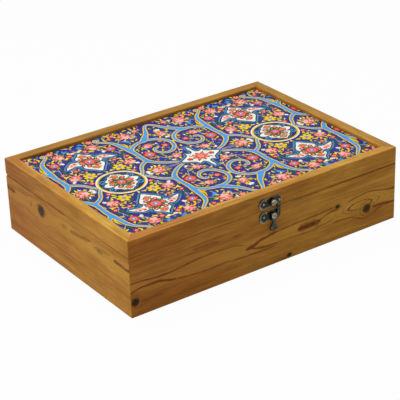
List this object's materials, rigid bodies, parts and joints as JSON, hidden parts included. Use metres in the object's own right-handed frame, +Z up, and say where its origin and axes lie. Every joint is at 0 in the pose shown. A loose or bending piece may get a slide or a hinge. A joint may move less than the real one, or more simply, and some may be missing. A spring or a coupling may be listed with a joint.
{
  "type": "wooden tea box",
  "caption": "Flat wooden tea box with mitred sides, compartments, a hinged lid with an inset painted arabesque panel, and a small swing-hook latch.",
  "frame": {"origin": "centre of the flat underside", "axes": "+X along the long side, to the right seen from the latch; +Y from the latch towards the hinges; +Z up"},
  "size_m": [0.34, 0.2465, 0.0846],
  "materials": {
    "front_pine": "stained and waxed pine, satin",
    "back_pine": "stained and waxed pine, satin",
    "left_pine": "stained and waxed pine, satin",
    "right_pine": "stained and waxed pine, satin",
    "painted_panel": "painted wood with a flower and scroll pattern, satin varnish",
    "plywood": "thin birch plywood, matte",
    "divider_wood": "thin pine strip, matte",
    "hinge_pin_steel": "drawn steel",
    "hinge_brass": "brass plated, lightly worn",
    "latch_plate_bronze": "antique bronze finish with worn rims",
    "latch_hook_bronze": "antique bronze finish with worn edges",
    "latch_fixing_bronze": "antique bronze finish, rubbed bright"
  },
  "bodies": {
    "base": {"front_board": "front_pine", "back_board": "back_pine", "left_board": "left_pine", "right_board": "right_pine", "bottom_panel": "plywood", "cross_divider_1": "divider_wood", "cross_divider_2": "divider_wood", "cross_divider_3": "divider_wood", "long_divider_1": "divider_wood", "long_divider_2": "divider_wood", "left_hinge_lower_leaf": "hinge_brass", "right_hinge_lower_leaf": "hinge_brass", "left_hinge_pin": "hinge_pin_steel", "right_hinge_pin": "hinge_pin_steel", "hinge_lower_screws": "hinge_brass", "strike_plate": "latch_plate_bronze", "strike_stud": "latch_fixing_bronze", "strike_nails": "latch_fixing_bronze"},
    "lid": {"lid_front_rail": "front_pine", "lid_back_rail": "back_pine", "lid_left_rail": "left_pine", "lid_right_rail": "right_pine", "lid_backing_panel": "plywood", "decorated_panel": "painted_panel", "left_hinge_upper_leaf": "hinge_brass", "right_hinge_upper_leaf": "hinge_brass", "hinge_upper_screws": "hinge_brass", "latch_plate": "latch_plate_bronze", "latch_rivet": "latch_fixing_bronze", "latch_nails": "latch_fixing_bronze"},
    "hook": {"latch_hook": "latch_hook_bronze"}
  },
  "joints": [
    {"name": "lid_hinge", "type": "hinge", "parent": "base", "child": "lid", "pos_m": [0, 0.118, 0.06585], "axis": [-1, 0, 0], "range_deg": [0, 100]},
    {"name": "hook_swing", "type": "hinge", "parent": "lid", "child": "hook", "pos_m": [0.0028, -0.121, 0.0727], "axis": [0, -1, 0], "range_deg": [0, 120]}
  ]
}
